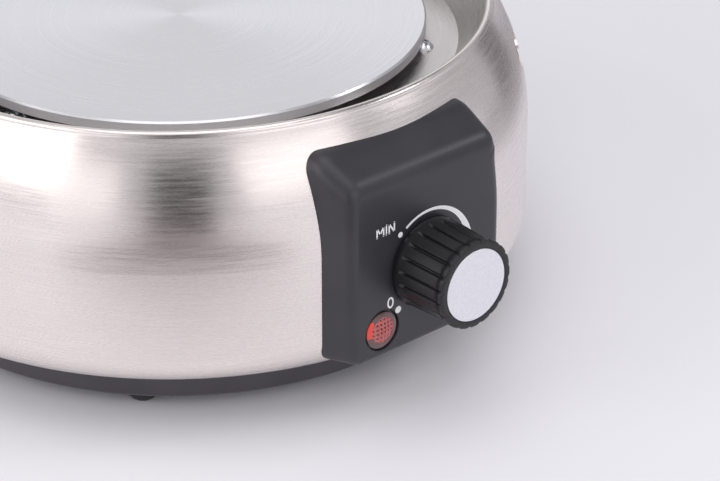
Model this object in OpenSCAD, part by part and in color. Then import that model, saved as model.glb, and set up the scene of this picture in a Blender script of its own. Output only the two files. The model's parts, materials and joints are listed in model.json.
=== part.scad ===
// Electric heating base of a fondue set. The control box faces -Y and the base stands on Z = 0.
// All sizes are in millimetres.

/* [Stand] */
// Height of the rubber feet
foot_h = 6; // [4:0.25:10]
// Radius of each rubber foot where it meets the base
foot_r = 4.6; // [3.6:0.1:6]
// Distance of each foot in from the black band's lower edge
foot_inset = 10.05; // [9:0.05:18]
// Height of the black band under the shell
base_h = 10.75; // [9:0.25:14]
// Inset of the black band from the shell's turned-in edge
base_inset = 2.5; // [1.5:0.1:3.5]
// Taper of the black band down to its lower edge
base_taper = 3.5; // [2:0.1:4.5]
// Wall and floor of the moulded base
base_wall = 2.5; // [2:0.1:3]
// Distance of the pillars and their screws out from the dish's inner wall
pillar_out = 8.5; // [7.5:0.1:9.5]
// Radius of the pillars
pillar_r = 4; // [3:0.1:4.5]
// Direction of the first foot, from +X
foot_turn = -138; // [-142:1:-134]
// Direction of the first tray screw, from +X
screw_turn = -49; // [-53:1:-45]

/* [Shell] */
// How far the shoulder curves in from the side to the rim
shoulder_in = 10.7; // [8:0.1:14]
// Height of the shoulder, up to the middle of the rim bead
shoulder_h = 34.8; // [29:0.2:42]
// Height above the shell's lower edge at which its shoulder starts to curve in
shell_side_h = 35.2; // [30:0.2:42]
// Radius of the turned-in lower edge
shell_edge_r = 9.25; // [7:0.25:11]
// Thickness of the shell's sheet
shell_t = 0.7; // [0.5:0.1:1]
// Radius of the rolled bead on the rim
bead_r = 1.15; // [0.9:0.05:1.5]
// Direction of the first vent, from +X
vent_turn = -39; // [-45:1:-30]
// Height of a vent slot
vent_h = 8.6; // [5:0.2:10]
// Length of a vent slot round the shell
vent_w = 20; // [12:0.5:24]
// Number of vent slots
vent_count = 2; // [1:1:2]

/* [Recess] */
// Depth of the ring floor below the middle of the rim bead
tray_depth = 10.85; // [9:0.25:13]
// Width of the ring floor outside the heating plate
trough_w = 9.1; // [7:0.1:12]
// How far the sloping wall runs inwards
tray_slope_w = 7.3; // [6:0.1:8]
// Thickness of the tray's sheet
tray_t = 0.8; // [0.6:0.1:1]
// Depth of the dish under the tray
dish_depth = 15; // [13:0.5:18]
// Distance from the plate's edge in to the dish's inner wall
dish_in = 9.5; // [8:0.1:11]

/* [Heating plate] */
// Radius of the heating plate
plate_r = 70; // [58:0.5:85]
// Gap between the tray screws' heads and the plate
plate_clear = 0.85; // [0.5:0.05:2]
// Thickness of the plate at its edge
plate_edge_t = 3; // [2.5:0.1:3.2]
// Thickness of the plate's thick middle
plate_core_t = 8; // [7:0.25:9]
// Step from the plate's edge in to its thick middle
core_in = 13; // [11.5:0.1:16]
// Distance from the thick middle's edge in to the element's ring
ring_in = 15; // [12.5:0.1:18]
// Radius of the element's tube
element_r = 3.3; // [2.8:0.1:3.6]

/* [Control box] */
// How far the front face stands out in front of the shell's side
face_reach = 4.1; // [3:0.1:8]
// Width of the front face, measured to its edges before they are rounded
face_w = 51.8; // [50:0.2:56]
// Fall from the middle of the rim bead to the front face's upper edge
face_fall = 13.8; // [11:0.1:17]
// Height of the front face's lower edge above the shell's lower edge
face_rise = 4; // [2:0.1:6]
// Rounding of the front face's edges
face_edge_r = 3.5; // [3:0.1:5]
// Wall of the control box
box_wall = 2.5; // [2:0.1:2.8]
// How far each side spreads by the back plane
box_spread = 9; // [7:0.1:10]
// Fall from the middle of the rim bead to the box's top at its back plane
top_fall = 0.9; // [0.6:0.05:2]

/* [Knob] */
// Length of the knob
knob_l = 18.7; // [16:0.1:22]
// Radius of the knob's front rim
knob_rim_r = 12.6; // [11:0.1:14]
// How far the knob's rear collar stands out past its front rim
knob_flare = 0.6; // [0.3:0.1:1.5]
// Number of flutes round the knob
flute_count = 20; // [12:1:24]
// Radius of the thermostat's shaft
shaft_r = 3; // [2.5:0.1:3.2]

/* [Lamp] */
// Radius of the lamp's lens
lens_r = 5.5; // [5:0.1:6]
// Distance of the lamp in from the front face's left edge
lamp_in = 10.5; // [9.5:0.1:12]
// Gap between the lamp's clip and the thermostat's frame above it
lamp_gap = 1.4; // [0.6:0.1:4]

/* [Hidden] */
$fn = 96;

// Overrun of every cut, gap of every running fit and gap of every seat
cut = 1;
run_gap = 0.05;
seat_gap = 0.1;

// Screws
screw_r = 2;
screw_head_r = 3.5;
screw_head_h = 2.2;
small_r = 1.5;
small_head_r = 2.8;
small_head_h = 1.8;
thread_l = 4;
poke_l = 2;

// Radii of the recess and the shell, from the plate outwards, then those of the pieces under the plate
tray_r = plate_r + trough_w;
rim_in_r = tray_r + tray_slope_w;
bead_mid_r = rim_in_r + bead_r;
rim_r = bead_mid_r + bead_r - seat_gap;
shell_r = rim_r + shoulder_in;
dish_r = plate_r - dish_in;
plate_core_r = plate_r - core_in;
element_ring_r = plate_core_r - ring_in;
pillar_pitch_r = dish_r + pillar_out;

// Stand
support_count = 3;
base_z = foot_h;
floor_z = base_z + base_wall;
shell_z = foot_h + base_h;
base_top_r = shell_r - shell_edge_r - base_inset;
base_low_r = base_top_r - base_taper;
foot_pitch_r = base_low_r - foot_inset;
base_bevel = 0.8;
lip_w = 3;
lip_r = base_top_r - lip_w;
spigot_h = 3;
spigot_r = lip_r - seat_gap;
spigot_in_r = spigot_r - base_wall;
boss_h = 3.5;
boss_r = 6;
foot_neck_r = 2.4;
foot_barb_r = 3.2;
foot_barb_h = 1.6;
slot_count = 12;
slot_start_r = 14;
slot_l = 16;
slot_w = 3;

// Shell
shell_h = shell_side_h + shoulder_h;
rim_z = shell_z + shell_h;
side_top_z = shell_z + shell_side_h;
shoulder_r = (shoulder_h * shoulder_h + shoulder_in * shoulder_in) / (2 * shoulder_in);
vent_drop = 16.1;
vent_z = rim_z - vent_drop;

// Recess
tray_z = rim_z - tray_depth;
tray_lip_w = 1.4;
tray_lip_z = rim_z - bead_r - seat_gap;
tray_wall_h = tray_lip_z - tray_z;
tray_slope = tray_slope_w / tray_wall_h;
tray_skew = tray_t * (sqrt(1 + tray_slope * tray_slope) - tray_slope);
flange_z = tray_z - tray_t;
flange_w = 14;
flange_r = dish_r + flange_w;
dish_t = 0.8;
dish_z = flange_z - dish_depth;
dish_floor_z = dish_z + dish_t;

// Heating plate and element
plate_low_z = tray_z + screw_head_h + plate_clear;
plate_z = plate_low_z + plate_edge_t;
core_z = plate_z - plate_core_t;
plate_bevel = 0.5;
post_count = 3;
post_turn = 30;
post_r = 5;
element_gap = 60;
elbow_r = 8;
elbow_share = 1.02;
joint_lap = 0.5;
groove_gap = 0.15;
leg_turn = 180;
leg_low_z = dish_z - elbow_r;
tab_w = 6.3;
tab_t = 0.8;
tab_h = 8;
bushing_r = 5;
bushing_lip = 1.5;
clamp_skin = 0.7;
clamp_t = element_r + clamp_skin;
clamp_half_w = 7;
post_pitch_r = element_ring_r - clamp_half_w - post_r - seat_gap;
clamp_lobe_r = 4.5;
clamp_lobe_out = 2.5;
clamp_pitch_r = element_ring_r + clamp_half_w + clamp_lobe_out;
clamp_z = core_z - seat_gap - clamp_t;
insulation_in = 8;
insulation_r = dish_r - insulation_in;
insulation_t = 1.2;
hole_clear = 0.8;
tray_screw_l = 12;
pillar_bore_l = 15;
pillar_low_z = floor_z + boss_h;
pillar_h = flange_z - dish_t - pillar_low_z;
base_screw_l = 13;
base_sink_h = 3.2;
head_clear = 0.6;
base_sink_r = screw_head_r + head_clear;

// Sensor
bulb_r = 2.3;
bulb_l = 28;
bulb_z = core_z - bulb_r - seat_gap;
clip_w = 12;
clip_l = 24;
clip_t = 1;
clip_screw_y = 8.5;
capillary_r = 0.8;
capillary_bend = 5;
capillary_x = bulb_l / 2 + capillary_bend;
capillary_drop = 11;
capillary_low_z = dish_z - capillary_drop;

// Control box
face_y = shell_r + face_reach;
face_z = shell_z + face_rise;
face_top_z = rim_z - face_fall;
box_in = 16.8;
box_back_y = shell_r - box_in;
box_depth = face_y - box_back_y;
box_climb = face_fall - top_fall;
box_drop = 1.3;
window_clear = 1;
window_in = 30;
box_screw_in = 3.3;
box_screw_side = face_w / 2 - box_screw_in;
box_screw_fall = 6.5;
box_screw_climb = 13;
box_boss_r = 3.4;
box_screw_l = 6.3;

// Lamp
lens_gap = 0.45;
lens_sink = 1.2;
lens_dome = 0.9;
lens_lip = 1.5;
lamp_r = lens_r - lens_lip;
lamp_l = 20;
lamp_clip_w = 1.2;
lamp_clip_r = lamp_r + lamp_clip_w;
lamp_clip_t = 0.6;
lamp_clip_clear = 0.5;
lamp_side = face_w / 2 - lamp_in;
lamp_z = face_z + box_wall + lamp_clip_clear + lamp_clip_r;
lead_r = 0.6;
lead_side = 1.8;

// Thermostat, measured outwards from the front face
neck_wall = 2;
neck_r = shaft_r + neck_wall;
neck_out = 4;
frame_t = 1.2;
frame_w = 26;
frame_h = 24;
frame_drop = 9.5;
body_w = 28;
body_h = 27;
body_l = 20;
body_drop = 10.5;
knob_z = lamp_z + lamp_clip_r + lamp_gap + frame_drop;
nut_wall = 3;
nut_r = neck_r + nut_wall;
nut_h = 2.5;
frame_off = -box_wall - frame_t;
body_off = frame_off - body_l;
collar_out = 1.5;
collar_r = shaft_r + collar_out;
collar_t = 2;
collar_gap = 1.5;
shaft_in = 8.5;
flat_cut = 1.05;
shaft_flat = shaft_r - flat_cut;
plunger_r = shaft_r;
plunger_l = 4;
plunger_travel = 2;
plunger_gap = 0.3;
diaphragm_r = 9.5;
diaphragm_t = 2.4;
stat_tab_side = 5.2;
stat_tab_rise = 13;
stat_tab_y = -(face_y + body_off - tab_h);

// Knob, measured from its rear edge
knob_gap = 0.8;
collar_l = 2.2;
rim_l = 2.1;
flute_depth = 1;
knob_r = knob_rim_r + knob_flare;
knob_body_r = knob_r - 0.3 * flute_depth;
knob_neck_r = knob_rim_r - 0.5 * flute_depth;
flute_w = 1.3;
scallop_r = 1;
scallop_bite = 0.45;
knob_wall = 2;
knob_end_t = 6.7;
cavity_r = knob_rim_r - knob_wall;
cavity_l = knob_l - knob_end_t;
hub_wall = 2.2;
hub_r = shaft_r + hub_wall;
hub_start = 4.4;
hub_off = knob_gap + hub_start;
cap_in = 2.3;
cap_r = knob_rim_r - cap_in;
cap_t = 0.8;
shaft_back = 3.2;
shaft_end = knob_l - shaft_back;
knob_clip_w = 4;
knob_clip_back = 2.3;
knob_clip_l = shaft_end - hub_off - knob_clip_back;
knob_clip_t = 0.5;
knob_clip_y = shaft_flat + run_gap;
knob_bevel = 0.4;
zero_turn = 229;
cap_proud = 0.15;
pointer_w = 1.4;
pointer_h = 0.35;

// The shell's window behind the box
window_low_z = lamp_z - lamp_r - window_clear;
window_top_z = knob_z + body_h - body_drop + window_clear;
window_w = 2 * (lamp_side + lamp_r + window_clear);

// Wiring parts on the floor of the base and under the dish
clamp_in = 15.95;
clamp_y = spigot_in_r - clamp_in;
block_in = 21;
block_y = clamp_y - block_in;
block_w = 33;
block_l = 18;
block_h = 13;
block_rise = 3;
block_z = floor_z + block_rise;
block_seat = 3.5;
pole_pitch = 11;
pole_w = 5;
pole_h = 6;
pole_in = 1;
pole_hole_r = 1.8;
pole_z = block_z + block_h / 2;
pole_front_y = block_y - block_l / 2 + pole_in;
block_foot_r = 3.2;
clamp_bar_w = 26;
clamp_bar_l = 9;
clamp_bar_t = 4;
clamp_boss_h = 9;
clamp_side = 9;
gland_rise = 17;
gland_z = shell_z + gland_rise;
gland_bore_r = 3.75;
gland_r = 6;
gland_flange_r = 9;
gland_flange_t = 3;
gland_nose_l = 6;
gland_nose_r = 5.2;
gland_in = 14;
gland_nut_t = 4;
gland_nut_r = 9;
cutout_r = 8;
cutout_h = 6;
cutout_in = 29.5;
cutout_y = dish_r - cutout_in;
cutout_ear_w = 30;
cutout_ear_l = 10;
cutout_ear_t = 0.6;
cutout_side = 11.6;
cutout_tab_l = 7;
cutout_tab_side = 5;
earth_side = 4.1;
earth_back = 10;
earth_x = post_pitch_r * cos(post_turn) + earth_side;
earth_y = post_pitch_r * sin(post_turn) + earth_back;
earth_tag_w = 8;
earth_tag_l = 16;
earth_tag_t = 0.8;
wire_r = 1.2;
wire_lead = 7;
joint_share = 1.05;
lead_shift = 1.95;
leg_angle = leg_turn - element_gap / 2;
leg_x = -(element_ring_r * cos(leg_angle) - elbow_r * sin(leg_angle));
leg_y = element_ring_r * sin(leg_angle) + elbow_r * cos(leg_angle);
leg_tab_z = leg_low_z - tab_h;

// Placing

// Copies the children round the Z axis
module round_z(count, turn, radius) {
    for (i = [0 : count - 1])
        rotate([0, 0, turn + i * 360 / count])
            translate([radius, 0, 0])
                children();
}

// Puts children that are drawn along +Z on the front face, side to the right and z up
module on_face(side, z) {
    translate([side, -face_y, z])
        rotate([90, 0, 0])
            children();
}

// Pan-head screw: its seat is at the origin, its head points up and its shank down
module pan_screw(r, head_r, head_h, length) {
    dome_r = (head_r * head_r + head_h * head_h) / (2 * head_h) * 1.02;
    recess_w = head_r * 0.24;
    recess_l = head_r * 1.1;
    recess_h = head_h * 0.55;
    difference() {
        intersection() {
            cylinder(r = head_r, h = head_h);
            translate([0, 0, head_h - dome_r])
                sphere(r = dome_r);
        }
        for (turn = [0, 90])
            rotate([0, 0, turn])
                translate([-recess_l / 2, -recess_w / 2, head_h - recess_h])
                    cube([recess_l, recess_w, recess_h + cut]);
    }
    translate([0, 0, -length])
        cylinder(r = r, h = length);
}

// Wire or thin tube along a list of points
module run(points, r) {
    for (i = [0 : len(points) - 2]) {
        step = points[i + 1] - points[i];
        length = norm(step);
        turn = atan2(step[1], step[0]);
        lean = acos(step[2] / length);
        translate(points[i])
            rotate([0, lean, turn]) {
                cylinder(r = r, h = length, $fn = 24);
                if (i > 0)
                    sphere(r = r * joint_share, $fn = 24);
            }
    }
}

// Shell

// Half section of the shell's outer form, moved inwards by inset
module shell_section(inset) {
    intersection() {
        translate([shell_r - shoulder_r, side_top_z])
            circle(r = shoulder_r - inset);
        translate([0, side_top_z])
            square([shell_r + cut, shoulder_h]);
    }
    translate([0, side_top_z])
        square([rim_r / 2, shoulder_h]);
    translate([0, shell_z + shell_edge_r])
        square([shell_r - inset, side_top_z - shell_z - shell_edge_r]);
    translate([0, shell_z + inset])
        square([shell_r - shell_edge_r, shell_edge_r - inset]);
    intersection() {
        translate([shell_r - shell_edge_r, shell_z + shell_edge_r])
            circle(r = shell_edge_r - inset);
        translate([shell_r - shell_edge_r, shell_z - cut])
            square([shell_edge_r + cut, shell_edge_r + cut]);
    }
}

// The shell's outer form as one solid, moved inwards by inset
module shell_form(inset) {
    rotate_extrude()
        shell_section(inset);
}

module vent() {
    straight = vent_w - vent_h;
    translate([shell_r - shoulder_in - cut, 0, vent_z])
        rotate([0, 90, 0]) {
            for (side = [-1, 1])
                translate([0, side * straight / 2, 0])
                    cylinder(r = vent_h / 2, h = shoulder_in + 2 * cut);
            translate([-vent_h / 2, -straight / 2, 0])
                cube([vent_h, straight, shoulder_in + 2 * cut]);
        }
}

// Inner radius of the shell at a height on its side or shoulder
function shell_in_r(z) = z < side_top_z
    ? shell_r - shell_t
    : shell_r - shoulder_r + sqrt(pow(shoulder_r - shell_t, 2) - pow(z - side_top_z, 2));

// Distance from the middle at which a box screw's head meets the inside of the shell
function box_seat_y(z) = sqrt(
    pow(shell_in_r(z + small_head_r), 2) - pow(box_screw_side + small_head_r, 2)
) - seat_gap;

// Seats of the box screws, with +Z pointing into the shell
module box_screw_places() {
    for (side = [-1, 1])
        for (z = [knob_z - box_screw_fall, knob_z + box_screw_climb])
            translate([side * box_screw_side, -box_seat_y(z), z])
                rotate([-90, 0, 0])
                    children();
}

module outer_shell() {
    color("silver")
        difference() {
            union() {
                difference() {
                    shell_form(0);
                    shell_form(shell_t);
                    translate([0, 0, shell_z - cut])
                        cylinder(r = lip_r, h = shell_t + 2 * cut);
                }
                rotate_extrude()
                    translate([bead_mid_r, rim_z])
                        circle(r = bead_r);
            }
            translate([-window_w / 2, -shell_r - cut, window_low_z])
                cube([window_w, window_in, window_top_z - window_low_z]);
            for (i = [0 : vent_count - 1])
                rotate([0, 0, vent_turn + i * 180])
                    vent();
            box_screw_places()
                translate([0, 0, -box_screw_l])
                    cylinder(r = small_r + seat_gap, h = box_screw_l);
            translate([0, shell_r + cut, gland_z])
                rotate([90, 0, 0])
                    cylinder(r = gland_r + seat_gap, h = shell_t + 3 * cut);
        }
}

// Recess, plate and element

module recess_tray() {
    top_r = rim_in_r;
    color("lightgray")
        difference() {
            rotate_extrude()
                polygon([
                    [dish_r, tray_z],
                    [tray_r, tray_z],
                    [top_r, tray_lip_z],
                    [top_r + tray_lip_w, tray_lip_z],
                    [top_r + tray_lip_w, tray_lip_z - tray_t],
                    [top_r + tray_skew, tray_lip_z - tray_t],
                    [tray_r + tray_skew, flange_z],
                    [dish_r, flange_z]
                ]);
            round_z(support_count, screw_turn, pillar_pitch_r)
                translate([0, 0, flange_z - cut])
                    cylinder(r = screw_r + seat_gap, h = tray_t + 2 * cut);
        }
}

module post_places() {
    round_z(post_count, post_turn, post_pitch_r)
        children();
}

module clamp_places() {
    round_z(post_count, 0, clamp_pitch_r)
        children();
}

module bulb_screw_places() {
    for (side = [-1, 1])
        translate([0, side * clip_screw_y, 0])
            children();
}

module heating_plate() {
    color("gainsboro")
        difference() {
            union() {
                rotate_extrude()
                    polygon([
                        [0, core_z],
                        [plate_core_r, core_z],
                        [plate_core_r, plate_low_z],
                        [plate_r, plate_low_z],
                        [plate_r, plate_z - plate_bevel],
                        [plate_r - plate_bevel, plate_z],
                        [0, plate_z]
                    ]);
                post_places()
                    translate([0, 0, dish_floor_z])
                        cylinder(r = post_r, h = core_z - dish_floor_z + joint_lap);
            }
            translate([0, 0, core_z])
                rotate_extrude()
                    translate([element_ring_r, 0])
                        circle(r = element_r + groove_gap);
            post_places()
                translate([0, 0, dish_floor_z - cut])
                    cylinder(r = screw_r + run_gap, h = tray_screw_l + cut);
            clamp_places()
                translate([0, 0, core_z - cut])
                    cylinder(r = small_r + run_gap, h = plate_core_t - plate_edge_t + cut);
            bulb_screw_places()
                translate([0, 0, core_z - cut])
                    cylinder(r = small_r + run_gap, h = plate_core_t - plate_edge_t + cut);
        }
}

module tray_screws() {
    color("white")
        round_z(support_count, screw_turn, pillar_pitch_r)
            translate([0, 0, tray_z])
                pan_screw(screw_r, screw_head_r, screw_head_h, tray_screw_l);
}

// Places of the element's two cold ends, drawn with the tangent along +Y and mirrored for the second one
module leg_places() {
    half = element_gap / 2;
    rotate([0, 0, leg_turn + half])
        translate([element_ring_r, 0, core_z])
            mirror([0, 1, 0])
                children();
    rotate([0, 0, leg_turn - half])
        translate([element_ring_r, 0, core_z])
            children();
}

module heating_element() {
    lap_turn = joint_lap / element_ring_r * 180 / PI;
    color("dimgray") {
        translate([0, 0, core_z])
            rotate([0, 0, leg_turn + element_gap / 2 - lap_turn])
                rotate_extrude(angle = 360 - element_gap + 2 * lap_turn)
                    translate([element_ring_r, 0])
                        circle(r = element_r);
        leg_places() {
            translate([0, 0, -elbow_r])
                rotate([0, -90, 0])
                    rotate_extrude(angle = 90)
                        translate([elbow_r, 0])
                            circle(r = element_r * elbow_share);
            translate([0, elbow_r, leg_low_z - core_z])
                cylinder(r = element_r, h = core_z - elbow_r - leg_low_z + joint_lap);
            translate([-tab_w / 2, elbow_r - tab_t / 2, leg_low_z - core_z - tab_h])
                cube([tab_w, tab_t, tab_h + cut]);
        }
    }
}

module element_clamp() {
    color("silver")
        difference() {
            union() {
                translate([0, 0, clamp_z])
                    difference() {
                        cylinder(r = element_ring_r + clamp_half_w, h = clamp_t);
                        translate([0, 0, -cut])
                            cylinder(r = element_ring_r - clamp_half_w, h = clamp_t + 2 * cut);
                    }
                clamp_places()
                    translate([0, 0, clamp_z])
                        cylinder(r = clamp_lobe_r, h = clamp_t);
            }
            translate([0, 0, core_z])
                rotate_extrude()
                    translate([element_ring_r, 0])
                        circle(r = element_r + seat_gap);
            clamp_places()
                translate([0, 0, clamp_z - cut])
                    cylinder(r = small_r + seat_gap, h = clamp_t + 2 * cut);
            rotate([0, 0, leg_turn])
                translate([0, -element_ring_r / 2 - elbow_r / 2, clamp_z - cut])
                    cube([element_ring_r * 2, element_ring_r + elbow_r, clamp_t + 2 * cut]);
        }
}

module clamp_screws() {
    color("white") {
        clamp_places()
            translate([0, 0, clamp_z])
                mirror([0, 0, 1])
                    pan_screw(small_r, small_head_r, small_head_h, clamp_t + thread_l);
        bulb_screw_places()
            translate([0, 0, core_z - clip_t])
                mirror([0, 0, 1])
                    pan_screw(small_r, small_head_r, small_head_h, clip_t + thread_l);
    }
}

module heat_dish() {
    color("silver")
        difference() {
            rotate_extrude()
                polygon([
                    [0, dish_z],
                    [dish_r + dish_t, dish_z],
                    [dish_r + dish_t, flange_z - dish_t],
                    [flange_r, flange_z - dish_t],
                    [flange_r, flange_z],
                    [dish_r, flange_z],
                    [dish_r, dish_floor_z],
                    [0, dish_floor_z]
                ]);
            round_z(support_count, screw_turn, pillar_pitch_r)
                translate([0, 0, flange_z - dish_t - cut])
                    cylinder(r = screw_r + seat_gap, h = dish_t + 2 * cut);
            dish_holes(0);
        }
}

// Holes in the dish's floor and, widened by grow, in the insulation on it
module dish_holes(grow) {
    drill = dish_t + insulation_t + 2 * cut;
    translate([0, 0, dish_z - cut]) {
        post_places()
            cylinder(r = (grow > 0 ? post_r : screw_r) + seat_gap, h = drill);
        translate([0, 0, cut - dish_z])
            leg_places()
                translate([0, elbow_r, dish_z - core_z - cut])
                    cylinder(r = bushing_r + seat_gap + (grow > 0 ? bushing_lip : 0), h = drill);
        translate([capillary_x, 0, 0])
            cylinder(r = capillary_r + seat_gap + grow, h = drill);
        cutout_screw_places()
            cylinder(r = small_r + seat_gap + grow, h = drill);
        translate([earth_x, earth_y, 0])
            cylinder(r = small_r + seat_gap + grow, h = drill);
    }
}

module insulation_disc() {
    color("white")
        difference() {
            translate([0, 0, dish_floor_z])
                cylinder(r = insulation_r, h = insulation_t);
            dish_holes(hole_clear);
        }
}

module element_bushings() {
    color("ivory")
        leg_places()
            translate([0, elbow_r, dish_z - core_z])
                difference() {
                    union() {
                        cylinder(r = bushing_r, h = dish_t + bushing_lip);
                        translate([0, 0, dish_t])
                            cylinder(r = bushing_r + bushing_lip, h = bushing_lip);
                    }
                    translate([0, 0, -cut])
                        cylinder(r = element_r + seat_gap, h = dish_t + bushing_lip + 2 * cut);
                }
}

module plate_screws() {
    color("white")
        post_places()
            translate([0, 0, dish_z])
                mirror([0, 0, 1])
                    pan_screw(screw_r, screw_head_r, screw_head_h, tray_screw_l);
}

module sensor_bulb() {
    color("goldenrod")
        translate([0, 0, bulb_z])
            rotate([0, 90, 0]) {
                translate([0, 0, -bulb_l / 2 + bulb_r])
                    cylinder(r = bulb_r, h = bulb_l - bulb_r);
                translate([0, 0, -bulb_l / 2 + bulb_r])
                    sphere(r = bulb_r);
            }
}

module bulb_clip() {
    arch_r = bulb_r + seat_gap + clip_t;
    color("silver")
        difference() {
            union() {
                translate([-clip_w / 2, -clip_l / 2, core_z - clip_t])
                    cube([clip_w, clip_l, clip_t]);
                translate([-clip_w / 2, 0, bulb_z])
                    rotate([0, 90, 0])
                        cylinder(r = arch_r, h = clip_w);
            }
            translate([-clip_w / 2 - cut, 0, bulb_z])
                rotate([0, 90, 0])
                    cylinder(r = bulb_r + seat_gap, h = clip_w + 2 * cut);
            translate([-clip_w / 2 - cut, -bulb_r - seat_gap, bulb_z])
                cube([clip_w + 2 * cut, 2 * (bulb_r + seat_gap), core_z - bulb_z + cut]);
            translate([-clip_w / 2 - cut, -arch_r - cut, core_z])
                cube([clip_w + 2 * cut, 2 * (arch_r + cut), arch_r]);
            bulb_screw_places()
                translate([0, 0, core_z - clip_t - cut])
                    cylinder(r = small_r + seat_gap, h = clip_t + 2 * cut);
        }
}

module capillary_tube() {
    back_y = -(face_y + body_off - diaphragm_t);
    color("peru")
        run([
            [bulb_l / 2, 0, bulb_z],
            [capillary_x, 0, bulb_z],
            [capillary_x, 0, capillary_low_z],
            [capillary_x, back_y + capillary_x, capillary_low_z],
            [0, back_y + capillary_x * 0.7, knob_z],
            [0, back_y, knob_z]
        ], capillary_r);
}

module cutout_screw_places() {
    for (side = [-1, 1])
        translate([side * cutout_side, cutout_y, 0])
            children();
}

module thermal_cutout() {
    color("saddlebrown")
        difference() {
            union() {
                translate([0, cutout_y, dish_z - cutout_h])
                    cylinder(r = cutout_r, h = cutout_h);
                translate([-cutout_ear_w / 2, cutout_y - cutout_ear_l / 2, dish_z - cutout_ear_t])
                    cube([cutout_ear_w, cutout_ear_l, cutout_ear_t]);
                for (side = [-1, 1])
                    translate([
                        side * cutout_tab_side - tab_t / 2,
                        cutout_y - tab_w / 2,
                        dish_z - cutout_h - cutout_tab_l
                    ])
                        cube([tab_t, tab_w, cutout_tab_l]);
            }
            cutout_screw_places()
                translate([0, 0, dish_z - cutout_ear_t - cut])
                    cylinder(r = small_r + seat_gap, h = cutout_ear_t + 2 * cut);
        }
}

module cutout_screws() {
    color("white")
        cutout_screw_places()
            translate([0, 0, dish_z - cutout_ear_t])
                mirror([0, 0, 1])
                    pan_screw(small_r, small_head_r, small_head_h, cutout_ear_t + dish_t + poke_l);
}

// Base

module pillars() {
    color("gray")
        round_z(support_count, screw_turn, pillar_pitch_r)
            translate([0, 0, pillar_low_z])
                difference() {
                    cylinder(r = pillar_r, h = pillar_h);
                    translate([0, 0, -cut])
                        cylinder(r = screw_r + run_gap, h = pillar_bore_l + cut);
                    translate([0, 0, pillar_h - pillar_bore_l])
                        cylinder(r = screw_r + run_gap, h = pillar_bore_l + cut);
                }
}

module clamp_boss_places() {
    for (side = [-1, 1])
        translate([side * clamp_side, clamp_y, 0])
            children();
}

module block_screw_places() {
    for (side = [-1, 1])
        translate([side * pole_pitch / 2, block_y, 0])
            children();
}

module base_pan() {
    color("#26242a")
        difference() {
            union() {
                rotate_extrude()
                    polygon([
                        [0, base_z],
                        [base_low_r - base_bevel, base_z],
                        [base_low_r, base_z + base_bevel],
                        [base_top_r, shell_z],
                        [spigot_r, shell_z],
                        [spigot_r, shell_z + spigot_h],
                        [spigot_in_r, shell_z + spigot_h],
                        [spigot_in_r, floor_z],
                        [0, floor_z]
                    ]);
                translate([0, 0, floor_z - joint_lap]) {
                    round_z(support_count, screw_turn, pillar_pitch_r)
                        cylinder(r = boss_r, h = boss_h + joint_lap);
                    clamp_boss_places()
                        cylinder(r = block_foot_r, h = clamp_boss_h + joint_lap);
                    block_screw_places()
                        cylinder(r = block_foot_r, h = block_rise + joint_lap);
                }
            }
            round_z(support_count, screw_turn, pillar_pitch_r)
                translate([0, 0, base_z - cut]) {
                    cylinder(r = screw_r + seat_gap, h = base_wall + boss_h + 2 * cut);
                    cylinder(r = base_sink_r, h = base_sink_h + cut);
                }
            round_z(support_count, foot_turn, foot_pitch_r)
                translate([0, 0, base_z - cut])
                    cylinder(r = foot_neck_r + seat_gap, h = base_wall + 2 * cut);
            clamp_boss_places()
                translate([0, 0, floor_z])
                    cylinder(r = small_r + run_gap, h = clamp_boss_h + cut);
            block_screw_places()
                translate([0, 0, floor_z + block_rise - thread_l])
                    cylinder(r = small_r + run_gap, h = thread_l + cut);
            round_z(slot_count, 0, slot_start_r)
                translate([0, -slot_w / 2, base_z - cut])
                    cube([slot_l, slot_w, base_wall + 2 * cut]);
        }
}

module rubber_feet() {
    dome_r = foot_r * 1.15;
    flat_r = foot_r * 0.44;
    color("#303030")
        round_z(support_count, foot_turn, foot_pitch_r) {
            intersection() {
                cylinder(r = foot_r, h = base_z);
                translate([0, 0, sqrt(dome_r * dome_r - flat_r * flat_r)])
                    sphere(r = dome_r);
            }
            translate([0, 0, base_z - foot_barb_h])
                cylinder(r = foot_neck_r, h = foot_barb_h + base_wall);
            translate([0, 0, floor_z])
                cylinder(r1 = foot_barb_r, r2 = foot_neck_r, h = foot_barb_h);
        }
}

module base_screws() {
    color("white")
        round_z(support_count, screw_turn, pillar_pitch_r)
            translate([0, 0, base_z + base_sink_h])
                mirror([0, 0, 1])
                    pan_screw(screw_r, screw_head_r, screw_head_h, base_screw_l);
}

// Control box

// Waste between a sharp corner and its round. The round's centre is the origin, and a and b are the
// outward normals of the two sides.
module corner_waste(a, b, r) {
    difference() {
        polygon([[0, 0], a * (r + cut), (a + b) * (r + cut) / (1 + a * b), b * (r + cut)]);
        circle(r = r);
    }
}

// Rounds the corner where two sides meet, given a point on both and the sides' outward normals
module round_corner(tip, a, b, r) {
    translate(tip - (a + b) * r / (1 + a * b))
        corner_waste(a, b, r);
}

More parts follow.
